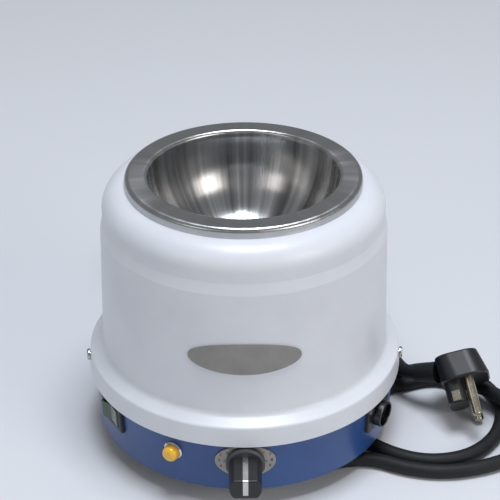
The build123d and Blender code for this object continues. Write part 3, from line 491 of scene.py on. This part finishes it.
# A CAD piece as the eye sees it: the same form, with round walls shaded round
def smoothTwin(name):
    mesh = nodes[name].data.copy()
    twin = bpy.data.objects.new(name + "Skin", mesh)
    bpy.context.scene.collection.objects.link(twin)
    if "custom_normal" in mesh.attributes:
        mesh.attributes.remove(mesh.attributes["custom_normal"])
    shape = bmesh.new()
    shape.from_mesh(mesh)
    bmesh.ops.remove_doubles(shape, verts=shape.verts, dist=skinWeld * mm)
    for face in shape.faces:
        face.smooth = True
    for edge in shape.edges:
        edge.smooth = edge.calc_face_angle(pi) < radians(skinSharp)
    shape.to_mesh(mesh)
    shape.free()
    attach(twin, bodyOf[name])
    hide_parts(name)
    return twin


smoothNodes = [
    "heating_bowl", "upper_housing", "control_base", "knob_disc", "control_knob", "knob_pointer",
    "lamp_lens", "lamp_bezel", "switch_housing", "switch_rocker", "socket_body", "socket_collar",
    "socket_insert", "socket_screws", "side_screw_left", "side_screw_right", "badge_plate", "dial_plate",
    "cord_gland", "kink_boot", "bottom_plate", "foot_screws", "plate_screws", "foot_rear_right",
    "foot_rear_left", "foot_front_left", "foot_front_right",
]
skins = {name: smoothTwin(name) for name in smoothNodes}
print("skins made")

# Printed marks on the dial plate, laid on its curved face: numerals and ticks beside the knob
dialMarks = {  # mm and degrees
    "size": 2.3,  # of a numeral
    "ink": 0.06,  # half of it stands proud of the plate
    "numerals": (  # each with its place, sideways and up
        ("2", -11.3, 3.6), ("3", -12.1, 0.3), ("4", -11.3, -3.0),
        ("7", 11.3, 3.6), ("8", 12.1, 0.3), ("9", 11.3, -3.0),
    ),
    "ticks": 9,
    "tickStart": -30,
    "tickSweep": 240,
    "tickLength": 1.0,
    "tickRadius": 9.6,
    "tickWidth": 0.35,
    "tickLimit": 0.85,  # the plate is narrower than the knob's disc above this share of the radius
    "wallRadius": 73.0,  # of the base behind the plate's middle
    "wallTaper": 0.0338,  # radius gained for each mm of height
    "plateFace": 0.93,  # from the wall to the plate's face
}
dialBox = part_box("dial_plate")


def dialPoint(x, up):
    # a point of the plate's face: x and up in mm from its middle
    low, high = dialBox
    centre = (low[2] + high[2]) / 2
    wall = dialMarks["wallRadius"] + dialMarks["wallTaper"] * up + dialMarks["plateFace"]
    return Vector((x, -sqrt(wall**2 - x**2), centre / mm + up)) * mm


def layOnDial(name, mesh, x, up, turn=0.0):
    spot = dialPoint(x, up)
    outward = Vector((spot.x, spot.y, 0)).normalized()
    side = Vector((-outward.y, outward.x, 0))
    above = outward.cross(side)
    basis = Matrix((side, above, outward)).transposed().to_4x4()
    mesh.transform(Matrix.Translation(spot) @ basis @ Matrix.Rotation(turn, 4, "Z"))
    mark = bpy.data.objects.new(name, mesh)
    bpy.context.scene.collection.objects.link(mark)
    mesh.materials.clear()
    mesh.materials.append(materials["printedInk"])
    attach(mark, "mantle")


def numeralMesh(text, size, ink):
    data = bpy.data.curves.new("numeral" + text, "FONT")
    data.body, data.size, data.extrude = text, size * mm, ink * mm / 2
    data.align_x, data.align_y = "CENTER", "CENTER"
    maker = bpy.data.objects.new("numeralMaker", data)
    bpy.context.scene.collection.objects.link(maker)
    graph = bpy.context.evaluated_depsgraph_get()
    mesh = bpy.data.meshes.new_from_object(maker.evaluated_get(graph))
    bpy.data.objects.remove(maker)
    return mesh


for text, x, up in dialMarks["numerals"]:
    layOnDial("dialNumeral" + text, numeralMesh(text, dialMarks["size"], dialMarks["ink"]), x, up)
for index in range(dialMarks["ticks"]):
    turned = dialMarks["tickSweep"] * index / (dialMarks["ticks"] - 1)
    angle = radians(dialMarks["tickStart"] + turned)
    if abs(sin(angle)) > dialMarks["tickLimit"]:
        continue
    shape = bmesh.new()
    bmesh.ops.create_cube(shape, size=mm)
    bmesh.ops.scale(
        shape, vec=(dialMarks["tickLength"], dialMarks["tickWidth"], dialMarks["ink"]), verts=shape.verts
    )
    mesh = bpy.data.meshes.new(f"dialTick{index}")
    shape.to_mesh(mesh)
    shape.free()
    reach = dialMarks["tickRadius"]
    layOnDial(f"dialTick{index}", mesh, reach * cos(angle), reach * sin(angle), angle)
print("dial marked")

# Studio: pale bench, a lamp overhead and weak lamps at the sides
studio = {
    "bench": "#D9DBDF",
    "benchRoughness": 0.6,
    "benchSize": 24.0,
    "sky": "#EEF1F6",
    "worldLevel": 0.3,
    "lamps": (
        # place, aim and size in metres, watts, colour
        ((0.1, -0.15, 1.7), (0, 0, 0.07), 0.7, 23.0, "#F0F6FF"),
        ((1.3, -1.1, 0.8), (0, 0, 0.07), 0.8, 8.0, "#FFF6F0"),
        ((-1.2, -1.2, 0.9), (0, 0, 0.07), 0.6, 2.0, "#FFF6F0"),
    ),
}


def makeStudio(setup):
    shape = bmesh.new()
    bmesh.ops.create_grid(shape, x_segments=1, y_segments=1, size=setup["benchSize"] / 2)
    mesh = bpy.data.meshes.new("bench")
    shape.to_mesh(mesh)
    shape.free()
    bench = bpy.data.objects.new("bench", mesh)
    bpy.context.scene.collection.objects.link(bench)
    paint = bpy.data.materials.new("benchLaminate")
    paint.use_nodes = True
    surface = paint.node_tree.nodes["Principled BSDF"]
    surface.inputs["Base Color"].default_value = linear(setup["bench"])
    surface.inputs["Roughness"].default_value = setup["benchRoughness"]
    mesh.materials.append(paint)
    world = bpy.data.worlds.new("studioWorld")
    bpy.context.scene.world = world
    world.use_nodes = True
    sky = world.node_tree.nodes["Background"]
    sky.inputs["Color"].default_value = linear(setup["sky"])
    sky.inputs["Strength"].default_value = setup["worldLevel"]
    for index, (place, aim, size, watts, tint) in enumerate(setup["lamps"]):
        data = bpy.data.lights.new(f"softbox{index}", "AREA")
        data.size, data.energy, data.color = size, watts, linear(tint)[:3]
        lamp = bpy.data.objects.new(f"softbox{index}", data)
        bpy.context.scene.collection.objects.link(lamp)
        lamp.location = place
        lamp.rotation_euler = (Vector(aim) - Vector(place)).to_track_quat("-Z", "Y").to_euler()


makeStudio(studio)
bpy.context.scene.view_settings.view_transform = "Standard"
print("studio lit")
